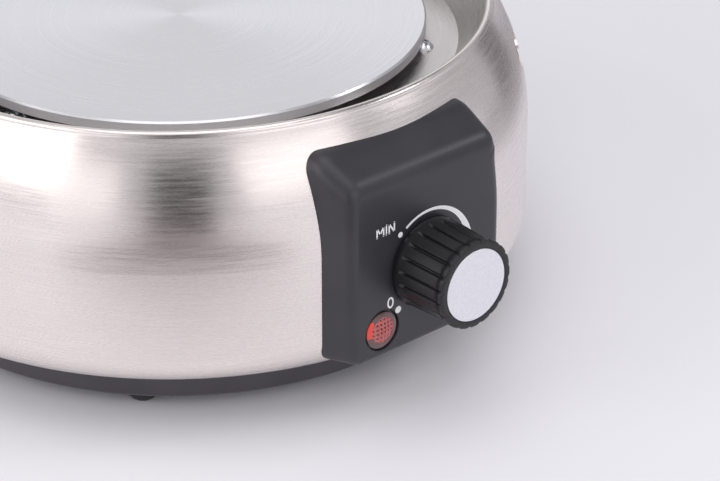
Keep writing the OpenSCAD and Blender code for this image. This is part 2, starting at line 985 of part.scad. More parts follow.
// Waste along the edge where a side of the box meets its top (up = 1) or its underside (up = -1)
module edge_waste(side, up, inset) {
    r = face_edge_r - inset;
    rise = up > 0 ? box_climb : box_drop;
    a = [side * box_depth, -box_spread, 0] / norm([box_depth, box_spread]);
    b = [0, -rise, up * box_depth] / norm([box_depth, rise]);
    along = [side * box_spread, box_depth, up * rise] / norm([box_spread, box_depth, rise]);
    across = cross(along, a);
    tip = [side * box_half_w(0, inset), -face_y, up > 0 ? box_top(0, inset) : box_low(0, inset)];
    centre = tip - (a + b) * r / (1 + a * b);
    multmatrix([
        [a[0], across[0], along[0], centre[0]],
        [a[1], across[1], along[1], centre[1]],
        [a[2], across[2], along[2], centre[2]]
    ])
        translate([0, 0, -box_depth])
            linear_extrude(height = 3 * box_depth)
                corner_waste([1, 0], [a * b, b * across], r);
}

// Half width, top and underside of the box at a depth behind its front face, moved inwards by inset
function slant(rise) = norm([box_depth, rise]) / box_depth;
function box_half_w(depth, inset) = face_w / 2 + box_spread * depth / box_depth - inset * slant(box_spread);
function box_top(depth, inset) = face_top_z + box_climb * depth / box_depth - inset * slant(box_climb);
function box_low(depth, inset) = face_z - box_drop * depth / box_depth + inset * slant(box_drop);

// The box seen from above
module box_plan(inset) {
    r = face_edge_r - inset;
    front = box_half_w(inset, inset);
    back = box_half_w(box_depth, inset);
    normal = [box_depth, -box_spread] / norm([box_depth, box_spread]);
    difference() {
        polygon([
            [-front, inset - face_y],
            [front, inset - face_y],
            [back, -box_back_y],
            [-back, -box_back_y]
        ]);
        round_corner([front, inset - face_y], [0, -1], normal, r);
        round_corner([-front, inset - face_y], [0, -1], [-normal[0], normal[1]], r);
    }
}

// The box seen from its right side
module box_side(inset) {
    r = face_edge_r - inset;
    top = box_top(inset, inset);
    low = box_low(inset, inset);
    over = [-box_climb, box_depth] / norm([box_climb, box_depth]);
    under = [-box_drop, -box_depth] / norm([box_drop, box_depth]);
    difference() {
        polygon([
            [inset - face_y, low],
            [-box_back_y, box_low(box_depth, inset)],
            [-box_back_y, box_top(box_depth, inset)],
            [inset - face_y, top]
        ]);
        round_corner([inset - face_y, top], [-1, 0], over, r);
        round_corner([inset - face_y, low], [-1, 0], under, r);
    }
}

// Outer form of the control box before the shell is taken from it, moved inwards by inset
module box_form(inset) {
    difference() {
        intersection() {
            linear_extrude(height = rim_z + shell_h)
                box_plan(inset);
            rotate([90, 0, 90])
                translate([0, 0, -face_w])
                    linear_extrude(height = 2 * face_w)
                        box_side(inset);
        }
        for (side = [-1, 1])
            for (up = [-1, 1])
                edge_waste(side, up, inset);
    }
}

module control_box() {
    color("#2b292e")
        difference() {
            union() {
                difference() {
                    box_form(0);
                    box_form(box_wall);
                }
                intersection() {
                    box_form(box_wall / 2);
                    box_screw_places()
                        translate([0, 0, -2 * box_screw_l])
                            cylinder(r = box_boss_r, h = 2 * box_screw_l);
                }
            }
            shell_form(-seat_gap);
            box_screw_places()
                translate([0, 0, -box_screw_l])
                    cylinder(r = small_r + run_gap, h = box_screw_l + cut);
            on_face(0, knob_z)
                translate([0, 0, -box_wall - cut])
                    cylinder(r = neck_r + seat_gap, h = box_wall + 2 * cut);
            on_face(-lamp_side, lamp_z) {
                translate([0, 0, -box_wall - cut])
                    cylinder(r = lamp_r + seat_gap, h = box_wall + 2 * cut);
                translate([0, 0, -lens_sink])
                    cylinder(r = lens_r + lens_gap, h = lens_sink + cut);
            }
        }
}

module box_screws() {
    color("white")
        box_screw_places()
            pan_screw(small_r, small_head_r, small_head_h, box_screw_l);
}

// Thermostat

module thermostat_frame() {
    color("silver")
        on_face(0, knob_z)
            difference() {
                union() {
                    translate([-frame_w / 2, -frame_drop, frame_off])
                        cube([frame_w, frame_h, frame_t]);
                    translate([0, 0, frame_off])
                        cylinder(r = neck_r, h = neck_out - frame_off);
                }
                translate([0, 0, frame_off - cut])
                    cylinder(r = shaft_r + run_gap, h = neck_out - frame_off + 2 * cut);
            }
}

module thermostat_body() {
    bore_l = shaft_in + plunger_gap + plunger_l + plunger_travel + cut;
    color("#4a3a30")
        on_face(0, knob_z)
            difference() {
                translate([-body_w / 2, -body_drop, body_off])
                    cube([body_w, body_h, body_l]);
                translate([0, 0, frame_off - bore_l])
                    cylinder(r = plunger_r + run_gap, h = bore_l + cut);
                translate([0, 0, frame_off - collar_gap - collar_t - seat_gap])
                    cylinder(r = collar_r + seat_gap, h = collar_gap + collar_t + seat_gap + cut);
            }
}

module thermostat_tabs() {
    color("khaki")
        on_face(0, knob_z)
            for (side = [-1, 1])
                translate([side * stat_tab_side - tab_w / 2, stat_tab_rise - tab_t / 2, body_off - tab_h])
                    cube([tab_w, tab_t, tab_h]);
}

module diaphragm() {
    color("peru")
        on_face(0, knob_z)
            translate([0, 0, body_off - diaphragm_t])
                cylinder(r = diaphragm_r, h = diaphragm_t);
}

module neck_nut() {
    color("silver")
        on_face(0, knob_z)
            difference() {
                cylinder(r = nut_r, h = nut_h, $fn = 6);
                translate([0, 0, -cut])
                    cylinder(r = neck_r + run_gap, h = nut_h + 2 * cut);
            }
}

module thermostat_shaft() {
    color("lightgray")
        on_face(0, knob_z)
            difference() {
                union() {
                    translate([0, 0, frame_off - shaft_in])
                        cylinder(r = shaft_r, h = shaft_end + shaft_in - frame_off);
                    translate([0, 0, frame_off - collar_gap - collar_t])
                        cylinder(r = collar_r, h = collar_t);
                }
                translate([-shaft_r, shaft_flat, hub_off])
                    cube([2 * shaft_r, shaft_r, shaft_end]);
            }
}

module adjusting_plunger() {
    color("khaki")
        on_face(0, knob_z)
            translate([0, 0, frame_off - shaft_in - plunger_gap - plunger_l])
                cylinder(r = plunger_r, h = plunger_l);
}

// Knob

module knob() {
    taper = atan((knob_body_r - knob_neck_r) / (knob_l - rim_l - collar_l));
    flute_start = collar_l + flute_depth;
    flute_l = knob_l - rim_l - flute_start;
    bore_l = shaft_end - hub_off + seat_gap;
    color("#2a282c")
        on_face(0, knob_z)
            translate([0, 0, knob_gap])
                difference() {
                    union() {
                        difference() {
                            rotate_extrude()
                                polygon([
                                    [0, 0],
                                    [knob_r - knob_bevel, 0],
                                    [knob_r, knob_bevel],
                                    [knob_r, collar_l - knob_bevel],
                                    [knob_body_r, collar_l],
                                    [knob_neck_r, knob_l - rim_l - knob_bevel],
                                    [knob_rim_r, knob_l - rim_l],
                                    [knob_rim_r, knob_l - knob_bevel],
                                    [knob_rim_r - knob_bevel, knob_l],
                                    [0, knob_l]
                                ]);
                            translate([0, 0, -cut])
                                cylinder(r = cavity_r, h = cavity_l + cut);
                        }
                        translate([0, 0, hub_start])
                            cylinder(r = hub_r, h = cavity_l - hub_start + cut);
                        rotate([0, 0, zero_turn])
                            translate([cavity_r, -pointer_w / 2, knob_bevel])
                                cube([knob_r + pointer_h - cavity_r, pointer_w, collar_l - knob_bevel]);
                    }
                    for (i = [0 : flute_count - 1])
                        rotate([0, 0, (i + 0.5) * 360 / flute_count]) {
                            translate([knob_body_r - flute_depth, -flute_w / 2, flute_start])
                                rotate([0, -taper, 0])
                                    cube([2 * flute_depth, flute_w, flute_l]);
                            translate([knob_rim_r + scallop_r - scallop_bite, 0, knob_l - rim_l - cut])
                                cylinder(r = scallop_r, h = rim_l + 2 * cut, $fn = 24);
                        }
                    translate([0, 0, knob_l - cap_t])
                        cylinder(r = cap_r + run_gap, h = cap_t + cut);
                    translate([0, 0, hub_start - cut])
                        difference() {
                            cylinder(r = shaft_r + run_gap, h = bore_l + cut);
                            translate([-shaft_r - cut, shaft_flat + run_gap, -cut])
                                cube([2 * (shaft_r + cut), shaft_r, bore_l + 3 * cut]);
                        }
                    translate([-knob_clip_w / 2 - run_gap, 0, hub_start - cut])
                        cube([
                            knob_clip_w + 2 * run_gap,
                            knob_clip_y + knob_clip_t + run_gap,
                            knob_clip_l + cut
                        ]);
                }
}

module knob_cap() {
    color("whitesmoke")
        on_face(0, knob_z)
            translate([0, 0, knob_gap + knob_l - cap_t])
                cylinder(r = cap_r, h = cap_t + cap_proud);
}

module knob_clip() {
    color("lightgray")
        on_face(0, knob_z)
            translate([-knob_clip_w / 2, knob_clip_y, hub_off])
                cube([knob_clip_w, knob_clip_t, knob_clip_l - run_gap]);
}

// Lamp

module lamp_lens() {
    dome_r = (lens_r * lens_r + lens_dome * lens_dome) / (2 * lens_dome);
    color("crimson")
        on_face(-lamp_side, lamp_z) {
            translate([0, 0, -lens_sink])
                cylinder(r = lens_r, h = lens_sink);
            intersection() {
                cylinder(r = lens_r, h = lens_dome);
                translate([0, 0, lens_dome - dome_r])
                    sphere(r = dome_r);
            }
        }
}

module lamp_body() {
    color("ivory")
        on_face(-lamp_side, lamp_z)
            translate([0, 0, -lens_sink - lamp_l])
                cylinder(r = lamp_r, h = lamp_l);
}

module lamp_clip() {
    color("silver")
        on_face(-lamp_side, lamp_z)
            translate([0, 0, -box_wall - lamp_clip_t])
                difference() {
                    cylinder(r = lamp_clip_r, h = lamp_clip_t);
                    translate([0, 0, -cut])
                        cylinder(r = lamp_r + run_gap, h = lamp_clip_t + 2 * cut);
                }
}

// Wiring parts

module pole_places() {
    for (i = [-1 : 1])
        translate([i * pole_pitch, block_y, pole_z])
            children();
}

module terminal_block() {
    color("ivory")
        difference() {
            translate([-block_w / 2, block_y - block_l / 2, block_z])
                cube([block_w, block_l, block_h]);
            pole_places()
                translate([-pole_w / 2 - seat_gap, -block_l / 2 - cut, -pole_h / 2 - seat_gap])
                    cube([pole_w + 2 * seat_gap, block_l + 2 * cut, pole_h + 2 * seat_gap]);
            pole_places()
                cylinder(r = pole_hole_r, h = block_h);
            block_screw_places() {
                translate([0, 0, block_z - cut])
                    cylinder(r = small_r + seat_gap, h = block_h + 2 * cut);
                translate([0, 0, block_z + block_seat])
                    cylinder(r = small_head_r + seat_gap, h = block_h);
            }
        }
}

module terminal_inserts() {
    color("khaki")
        pole_places()
            translate([-pole_w / 2, -block_l / 2 + pole_in, -pole_h / 2 - seat_gap])
                cube([pole_w, block_l - 2 * pole_in, pole_h]);
}

module block_screws() {
    color("white")
        block_screw_places()
            translate([0, 0, block_z + block_seat])
                pan_screw(small_r, small_head_r, small_head_h, block_seat + thread_l);
}

module cord_gland() {
    color("#2b292e")
        difference() {
            union() {
                difference() {
                    translate([0, shell_r + gland_flange_t, gland_z])
                        rotate([90, 0, 0])
                            cylinder(r = gland_flange_r, h = gland_flange_t + cut);
                    shell_form(-seat_gap);
                }
                translate([0, shell_r + gland_flange_t, gland_z])
                    rotate([90, 0, 0])
                        cylinder(r = gland_r, h = gland_flange_t + gland_in);
                translate([0, shell_r + gland_flange_t, gland_z])
                    rotate([-90, 0, 0])
                        cylinder(r1 = gland_r, r2 = gland_nose_r, h = gland_nose_l);
            }
            translate([0, shell_r + gland_flange_t + gland_nose_l + cut, gland_z])
                rotate([90, 0, 0])
                    cylinder(r = gland_bore_r, h = gland_nose_l + gland_flange_t + gland_in + 2 * cut);
        }
}

module gland_nut() {
    seat_y = sqrt(pow(shell_r - shell_t, 2) - pow(gland_nut_r, 2)) - seat_gap;
    color("#2b292e")
        translate([0, seat_y, gland_z])
            rotate([90, 0, 0])
                difference() {
                    cylinder(r = gland_nut_r, h = gland_nut_t, $fn = 6);
                    translate([0, 0, -cut])
                        cylinder(r = gland_r + run_gap, h = gland_nut_t + 2 * cut);
                }
}

module cord_clamp() {
    color("ivory")
        difference() {
            translate([-clamp_bar_w / 2, clamp_y - clamp_bar_l / 2, floor_z + clamp_boss_h])
                cube([clamp_bar_w, clamp_bar_l, clamp_bar_t]);
            clamp_boss_places()
                translate([0, 0, floor_z + clamp_boss_h - cut])
                    cylinder(r = small_r + seat_gap, h = clamp_bar_t + 2 * cut);
        }
}

module cord_clamp_screws() {
    color("white")
        clamp_boss_places()
            translate([0, 0, floor_z + clamp_boss_h + clamp_bar_t])
                pan_screw(small_r, small_head_r, small_head_h, clamp_bar_t + thread_l);
}

module earth_tag() {
    color("khaki")
        difference() {
            translate([earth_x - earth_tag_w / 2, earth_y - earth_tag_w / 2, dish_z - earth_tag_t])
                cube([earth_tag_l, earth_tag_w, earth_tag_t]);
            translate([earth_x, earth_y, dish_z - earth_tag_t - cut])
                cylinder(r = small_r + seat_gap, h = earth_tag_t + 2 * cut);
        }
}

module earth_screw() {
    color("khaki")
        translate([earth_x, earth_y, dish_z - earth_tag_t])
            mirror([0, 0, 1])
                pan_screw(small_r, small_head_r, small_head_h, earth_tag_t + dish_t + poke_l);
}

// Internal wires

module live_wire() {
    color("sienna")
        run([
            [-pole_pitch, pole_front_y, pole_z],
            [-pole_pitch, pole_front_y - wire_lead, pole_z],
            [stat_tab_side, stat_tab_y + wire_lead / 2, dish_z - 3 * wire_lead],
            [stat_tab_side, stat_tab_y + wire_lead / 2, knob_z + stat_tab_rise],
            [stat_tab_side, stat_tab_y, knob_z + stat_tab_rise]
        ], wire_r);
}

module load_wire() {
    color("black")
        run([
            [-stat_tab_side, stat_tab_y, knob_z + stat_tab_rise],
            [-stat_tab_side, stat_tab_y + wire_lead / 2, knob_z + stat_tab_rise],
            [-leg_x, -leg_y * 2.6, leg_tab_z - wire_lead / 2],
            [-leg_x, -leg_y, leg_tab_z - wire_lead / 2],
            [-leg_x, -leg_y, leg_tab_z]
        ], wire_r);
}

module neutral_wire() {
    tab_z = dish_z - cutout_h - cutout_tab_l;
    color("royalblue")
        run([
            [0, pole_front_y, pole_z],
            [0, pole_front_y - wire_lead, pole_z],
            [cutout_tab_side, pole_front_y - wire_lead, tab_z - 2 * wire_lead],
            [cutout_tab_side, cutout_y, tab_z - wire_lead],
            [cutout_tab_side, cutout_y, tab_z]
        ], wire_r);
}

module cutout_wire() {
    tab_z = dish_z - cutout_h - cutout_tab_l;
    color("royalblue")
        run([
            [-cutout_tab_side, cutout_y, tab_z],
            [-cutout_tab_side, cutout_y, tab_z - wire_lead],
            [-leg_x, leg_y, leg_tab_z - wire_lead],
            [-leg_x, leg_y, leg_tab_z]
        ], wire_r);
}

module earth_wire() {
    end_x = earth_x + earth_tag_l - earth_tag_w;
    color("limegreen")
        run([
            [pole_pitch, pole_front_y, pole_z],
            [pole_pitch, pole_front_y - wire_lead, pole_z],
            [end_x, earth_y, dish_z - 2 * wire_lead],
            [end_x, earth_y, dish_z - earth_tag_t]
        ], wire_r);
}

module lamp_leads() {
    start_y = -(face_y - lens_sink - lamp_l);
    for (lead = [[-lead_side, -pole_pitch - lead_shift], [lead_side, -lead_shift]])
        color("dimgray")
            run([
                [-lamp_side + lead[0], start_y, lamp_z],
                [-lamp_side + lead[0], start_y + wire_lead, lamp_z],
                [lead[1], pole_front_y - wire_lead / 2, pole_z],
                [lead[1], pole_front_y, pole_z]
            ], lead_r);
}

outer_shell();
recess_tray();
heating_plate();
tray_screws();
heat_dish();
insulation_disc();
heating_element();
element_clamp();
clamp_screws();
element_bushings();
plate_screws();
sensor_bulb();
bulb_clip();
capillary_tube();
thermal_cutout();
cutout_screws();
pillars();
base_pan();
rubber_feet();
base_screws();
control_box();
box_screws();
thermostat_frame();
thermostat_body();
thermostat_tabs();
diaphragm();
neck_nut();
thermostat_shaft();
adjusting_plunger();
knob();
knob_cap();
knob_clip();
lamp_lens();
lamp_body();
lamp_clip();
terminal_block();
terminal_inserts();
block_screws();
cord_gland();
gland_nut();
cord_clamp();
cord_clamp_screws();
earth_tag();
earth_screw();
live_wire();
load_wire();
neutral_wire();
cutout_wire();
earth_wire();
lamp_leads();
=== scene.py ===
"""Looks of the fondue set's electric heating base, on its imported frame."""
import json
import math

import bmesh
import bpy
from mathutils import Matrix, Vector


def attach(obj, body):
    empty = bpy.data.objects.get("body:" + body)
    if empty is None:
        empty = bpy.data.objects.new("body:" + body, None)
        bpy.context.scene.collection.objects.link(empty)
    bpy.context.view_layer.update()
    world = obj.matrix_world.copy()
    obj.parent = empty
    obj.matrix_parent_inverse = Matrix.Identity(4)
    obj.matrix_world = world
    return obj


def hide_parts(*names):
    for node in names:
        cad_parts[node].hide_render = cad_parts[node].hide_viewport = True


MM = 0.001
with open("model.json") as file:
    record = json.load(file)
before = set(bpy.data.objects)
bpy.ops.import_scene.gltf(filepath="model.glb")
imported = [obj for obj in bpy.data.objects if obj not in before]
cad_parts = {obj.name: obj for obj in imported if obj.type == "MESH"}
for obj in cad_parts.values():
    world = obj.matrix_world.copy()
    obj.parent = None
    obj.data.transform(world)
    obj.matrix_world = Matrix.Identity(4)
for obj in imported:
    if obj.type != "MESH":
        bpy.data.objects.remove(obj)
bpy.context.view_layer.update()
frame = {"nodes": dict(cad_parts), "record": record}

# Places in the frame, in millimetres
FACE_Y = -103.4
FACE_HALF = 25.9
FACE_LOW = 20.75
FACE_TOP = 72.95
KNOB_Z = 45.05
LAMP = (-15.4, 28.95)
SHELL_R = 99.3
SHOULDER_R = 61.938
SIDE_TOP = 51.95
EDGE_R = 9.25
SHELL_Z = 16.75

# Distances that several pieces share, in millimetres
SHELL_GAP = 0.12
KNOB_GAP = 0.8
KNOB_L = 18.7


def shell_radius(z):
    """Outer radius of the shell at a height."""
    if z > SIDE_TOP:
        return SHELL_R - SHOULDER_R + math.sqrt(max(SHOULDER_R ** 2 - (z - SIDE_TOP) ** 2, 0))
    if z < SHELL_Z + EDGE_R:
        return SHELL_R - EDGE_R + math.sqrt(max(EDGE_R ** 2 - (SHELL_Z + EDGE_R - z) ** 2, 0))
    return SHELL_R


# Materials

class Shader:
    """A material's node tree with short ways to add and join nodes."""

    def __init__(self, name, **values):
        self.mat = bpy.data.materials.new(name)
        self.mat.use_nodes = True
        self.tree = self.mat.node_tree
        self.bsdf = self.tree.nodes["Principled BSDF"]
        for key, value in values.items():
            self.bsdf.inputs[key.replace("_", " ")].default_value = value

    def node(self, kind, **values):
        made = self.tree.nodes.new(kind)
        for key, value in values.items():
            setattr(made, key, value)
        return made

    def join(self, a, b):
        self.tree.links.new(a, b)

    def math(self, operation, a, b=None):
        made = self.node("ShaderNodeMath", operation=operation)
        for i, value in enumerate((a, b)):
            if value is None:
                continue
            if isinstance(value, (int, float)):
                made.inputs[i].default_value = value
            else:
                self.join(value, made.inputs[i])
        return made.outputs[0]

    def place(self):
        return self.node("ShaderNodeTexCoord").outputs["Object"]

    def scaled(self, vector, scale):
        made = self.node("ShaderNodeVectorMath", operation="MULTIPLY")
        self.join(vector, made.inputs[0])
        made.inputs[1].default_value = scale
        return made.outputs[0]

    def noise(self, vector, scale=1.0, detail=3.0, roughness=0.5):
        made = self.node("ShaderNodeTexNoise")
        self.join(vector, made.inputs["Vector"])
        made.inputs["Scale"].default_value = scale
        made.inputs["Detail"].default_value = detail
        made.inputs["Roughness"].default_value = roughness
        return made.outputs["Fac"]

    def spread(self, value, low, high):
        made = self.node("ShaderNodeMapRange")
        self.join(value, made.inputs["Value"])
        made.inputs["From Min"].default_value = 0.3
        made.inputs["From Max"].default_value = 0.7
        made.inputs["To Min"].default_value = low
        made.inputs["To Max"].default_value = high
        return made.outputs["Result"]

    def between(self, value, dark, light):
        made = self.node("ShaderNodeMix", data_type="RGBA")
        self.join(value, made.inputs["Factor"])
        made.inputs["A"].default_value = (*dark, 1)
        made.inputs["B"].default_value = (*light, 1)
        return made.outputs["Result"]

    def bump(self, height, strength, distance):
        made = self.node("ShaderNodeBump")
        made.inputs["Strength"].default_value = strength
        made.inputs["Distance"].default_value = distance
        self.join(height, made.inputs["Height"])
        self.join(made.outputs["Normal"], self.bsdf.inputs["Normal"])

    def tangent(self):
        made = self.node("ShaderNodeTangent", direction_type="RADIAL", axis="Z")
        self.join(made.outputs["Tangent"], self.bsdf.inputs["Tangent"])


def radius_of(s, split):
    """Distance from the Z axis, from a split place."""
    squares = [s.math("MULTIPLY", split.outputs[i], split.outputs[i]) for i in (0, 1)]
    return s.math("SQRT", s.math("ADD", squares[0], squares[1]))


def brushed(name, colour, rough, bump=0.05, aniso=0.6, spread=0.05, streak=(55, 55, 2300)):
    """Steel brushed round the Z axis."""
    s = Shader(name, Metallic=1.0, Anisotropic=aniso, Anisotropic_Rotation=0.25)
    s.tangent()
    split = s.node("ShaderNodeSeparateXYZ")
    s.join(s.place(), split.inputs[0])
    across = s.math("ADD", s.math("MULTIPLY", split.outputs[2], streak[2]),
                    s.math("MULTIPLY", radius_of(s, split), streak[2] * 0.7))
    lines = s.node("ShaderNodeCombineXYZ")
    s.join(s.math("MULTIPLY", split.outputs[0], streak[0]), lines.inputs[0])
    s.join(s.math("MULTIPLY", split.outputs[1], streak[1]), lines.inputs[1])
    s.join(across, lines.inputs[2])
    fine = s.noise(lines.outputs[0], 1.0, 4.0, 0.6)
    broad = s.noise(s.scaled(s.place(), (18, 18, 90)), 1.0, 2.0)
    mixed = s.math("ADD", s.math("MULTIPLY", fine, 0.75), s.math("MULTIPLY", broad, 0.25))
    dark = [c * (1 - spread) for c in colour]
    light = [min(c * (1 + spread), 1) for c in colour]
    s.join(s.between(s.spread(mixed, 0, 1), dark, light), s.bsdf.inputs["Base Color"])
    s.join(s.spread(fine, rough * 0.8, rough * 1.25), s.bsdf.inputs["Roughness"])
    s.bump(fine, bump, 0.0002)
    return s.mat


def turned(name, colour, rough, aniso=0.7, bump=0.06):
    """Metal turned on a lathe, with fine rings round the Z axis."""
    s = Shader(name, Metallic=1.0, Anisotropic=aniso, Anisotropic_Rotation=0.25)
    s.tangent()
    split = s.node("ShaderNodeSeparateXYZ")
    s.join(s.place(), split.inputs[0])
    radius = radius_of(s, split)
    rings = s.node("ShaderNodeCombineXYZ")
    s.join(s.math("MULTIPLY", split.outputs[0], 14.0), rings.inputs[0])
    s.join(s.math("MULTIPLY", split.outputs[1], 14.0), rings.inputs[1])
    s.join(s.math("MULTIPLY", radius, 1900.0), rings.inputs[2])
    fine = s.noise(rings.outputs[0], 1.0, 3.0, 0.6)
    dark = [c * 0.965 for c in colour]
    light = [min(c * 1.03, 1) for c in colour]
    s.join(s.between(s.spread(fine, 0, 1), dark, light), s.bsdf.inputs["Base Color"])
    s.join(s.spread(fine, rough * 0.85, rough * 1.15), s.bsdf.inputs["Roughness"])
    s.bump(fine, bump, 0.0001)
    return s.mat


def plain_metal(name, colour, rough, scale=900):
    """Metal with a fine grain that runs in no direction."""
    s = Shader(name, Metallic=1.0)
    grain = s.noise(s.scaled(s.place(), (scale, scale, scale)), 1.0, 3.0)
    dark = [c * 0.94 for c in colour]
    light = [min(c * 1.05, 1) for c in colour]
    s.join(s.between(s.spread(grain, 0, 1), dark, light), s.bsdf.inputs["Base Color"])
    s.join(s.spread(grain, rough * 0.85, rough * 1.2), s.bsdf.inputs["Roughness"])
    s.bump(grain, 0.05, 0.0001)
    return s.mat


def moulded(name, colour, rough, scale=3500, bump=0.12, spread=0.12):
    """A moulded plastic, rubber, ceramic or ink with a fine grain."""
    s = Shader(name, Metallic=0.0, IOR=1.5)
    grain = s.noise(s.scaled(s.place(), (scale, scale, scale)), 1.0, 2.0)
    cloud = s.noise(s.scaled(s.place(), (60, 60, 60)), 1.0, 3.0)
    dark = [c * (1 - spread) for c in colour]
    light = [min(c * (1 + spread), 1) for c in colour]
    s.join(s.between(s.spread(cloud, 0, 1), dark, light), s.bsdf.inputs["Base Color"])
    s.join(s.spread(cloud, rough * 0.93, rough * 1.07), s.bsdf.inputs["Roughness"])
    s.bump(grain, bump, 0.00006)
    return s.mat


steel = brushed("shell_steel", (0.87, 0.805, 0.78), 0.27, bump=0.035)
tray = brushed("tray_steel", (0.62, 0.59, 0.575), 0.3, bump=0.04, streak=(60, 60, 1600))
plate = turned("plate_metal", (0.8, 0.8, 0.82), 0.3)
zinc = plain_metal("zinc_steel", (0.78, 0.79, 0.81), 0.25)
box_black = moulded("black_moulding", (0.031, 0.03, 0.036), 0.38)
band_black = moulded("band_moulding", (0.052, 0.047, 0.056), 0.38)
knob_black = moulded("knob_moulding", (0.0085, 0.008, 0.0095), 0.4, bump=0.06)
cap_metal = plain_metal("cap_metal", (0.86, 0.86, 0.9), 0.42, scale=1600)
rubber = moulded("foot_rubber", (0.03, 0.028, 0.032), 0.6)


def lens_material():
    """Clear red lens: a field of dark dots in a greyish ring, with a painted highlight in brighter red
    along its left edge.
    """
    s = Shader("lens_red", Roughness=0.2, Coat_Weight=0.5, Coat_Roughness=0.1)
    split = s.node("ShaderNodeSeparateXYZ")
    s.join(s.place(), split.inputs[0])
    across = s.math("SUBTRACT", split.outputs[0], LAMP[0] * MM)
    along = s.math("SUBTRACT", split.outputs[2], LAMP[1] * MM)
    dot_pitch, dot_share, whole_cells = 1.3 * MM, 0.25, 40.0
    field_r, lit_middle, lit_half, lit_side = 3.75 * MM, 1.1 * MM, 2.3 * MM, -3.1 * MM

    def cell(value):
        share = s.math("FRACT", s.math("ADD", s.math("DIVIDE", value, dot_pitch), whole_cells))
        return s.math("ABSOLUTE", s.math("SUBTRACT", share, 0.5))

    def length(a, b):
        return s.math("SQRT", s.math("ADD", s.math("MULTIPLY", a, a), s.math("MULTIPLY", b, b)))

    a, b = cell(across), cell(along)
    dots = s.math("LESS_THAN", length(a, b), dot_share)
    field = s.math("LESS_THAN", length(across, along), field_r)
    # Painted highlight: a bright red band on the left part of the greyish ring, standing in for light
    # leaving the lens's edge
    lit = s.math("LESS_THAN", s.math("ABSOLUTE", s.math("SUBTRACT", along, lit_middle)), lit_half)
    painted_highlight = s.math("MULTIPLY", s.math("LESS_THAN", across, lit_side), lit)
    spots = s.between(dots, (0.46, 0.105, 0.1), (0.16, 0.014, 0.016))
    ring = s.between(painted_highlight, (0.125, 0.062, 0.062), (0.72, 0.05, 0.035))
    mixed = s.node("ShaderNodeMix", data_type="RGBA")
    s.join(field, mixed.inputs["Factor"])
    s.join(ring, mixed.inputs["A"])
    s.join(spots, mixed.inputs["B"])
    s.join(mixed.outputs["Result"], s.bsdf.inputs["Base Color"])
    return s.mat


lens_red = lens_material()
legend_white = moulded("legend_ink", (0.86, 0.86, 0.88), 0.5, bump=0.02, spread=0.02)

by_slot = {
    "shell_steel": steel,
    "tray_steel": tray,
    "plate_metal": plate,
    "zinc_steel": zinc,
    "dish_metal": plain_metal("dish_metal", (0.8, 0.81, 0.82), 0.3),
    "fibre": moulded("fibre", (0.85, 0.82, 0.74), 0.9, scale=1500, bump=0.4),
    "element_steel": plain_metal("element_steel", (0.3, 0.29, 0.29), 0.5),
    "cast_clamp": plain_metal("cast_clamp", (0.62, 0.63, 0.64), 0.45, scale=500),
    "steatite": moulded("steatite", (0.85, 0.82, 0.74), 0.6),
    "copper": plain_metal("copper", (0.83, 0.48, 0.32), 0.3),
    "contact_brass": plain_metal("contact_brass", (0.8, 0.66, 0.34), 0.3),
    "brown_moulding": moulded("brown_moulding", (0.12, 0.07, 0.045), 0.5),
    "black_moulding": box_black,
    "band_moulding": band_black,
    "foot_rubber": rubber,
    "knob_moulding": knob_black,
    "cap_metal": cap_metal,
    "lens_red": lens_red,
    "white_moulding": moulded("white_moulding", (0.8, 0.78, 0.7), 0.5),
    "brown_cable": moulded("brown_cable", (0.2, 0.08, 0.04), 0.4),
    "black_cable": moulded("black_cable", (0.02, 0.02, 0.02), 0.4),
    "blue_cable": moulded("blue_cable", (0.04, 0.14, 0.5), 0.4),
    "green_cable": moulded("green_cable", (0.12, 0.5, 0.08), 0.4),
    "grey_cable": moulded("grey_cable", (0.3, 0.3, 0.3), 0.4),
}


def set_material(obj, mat):
    """One material in every slot of an object."""
    if not obj.material_slots:
        obj.data.materials.append(mat)
    for slot in obj.material_slots:
        slot.material = mat


for part in frame["record"]["subparts"]:
    node = frame["nodes"][part["node"]]
    for obj in (node if isinstance(node, (list, tuple)) else [node]):
        set_material(obj, by_slot[part["material_slot"]])


# Mesh helpers

def make(name, verts, faces, mat, angle=35):
    """A mesh object from points in millimetres."""
    mesh = bpy.data.meshes.new(name)
    mesh.from_pydata([(x * MM, y * MM, z * MM) for x, y, z in verts], [], faces)
    mesh.validate()
    mesh.shade_smooth()
    mesh.set_sharp_from_angle(angle=math.radians(angle))
    obj = bpy.data.objects.new(name, mesh)
    bpy.context.scene.collection.objects.link(obj)
    set_material(obj, mat)
    return obj


def rings_mesh(rings, closed_ends=(False, False)):
    """Faces between rings of equal length, each closed on itself."""
    count = len(rings[0])
    verts = [p for ring in rings for p in ring]
    faces = []
    for k in range(len(rings) - 1):
        for i in range(count):
            j = (i + 1) % count
            faces.append((k * count + i, k * count + j, (k + 1) * count + j, (k + 1) * count + i))
    if closed_ends[0]:
        faces.append(tuple(range(count))[::-1])
    if closed_ends[1]:
        base = (len(rings) - 1) * count
        faces.append(tuple(range(base, base + count)))
    return verts, faces


def on_face(side, up, out):
    """A point by its place on the box's front face and its distance outwards."""
    return (side, FACE_Y - out, up)


def face_circle(centre, r, out, count):
    """Points of a circle parallel to the box's front face."""
    points = []
    for i in range(count):
        a = 2 * math.pi * i / count
        points.append(on_face(centre[0] + r * math.cos(a), centre[1] + r * math.sin(a), out))
    return points


# Control box: one smooth moulding from its front face back to the shell

SIDE_ROUND = 3.6
TOP_ROUND = 6.5
LOW_ROUND = 1.9
CORNER_R = 4.2
SIDE_SLOPE = 0.43
TOP_SLOPE = 0.685
TOP_LIMIT = 7.6
SIDE_LIMIT = 4.1
LOW_SLOPE = 0.06
RISE_POWER = 1.5
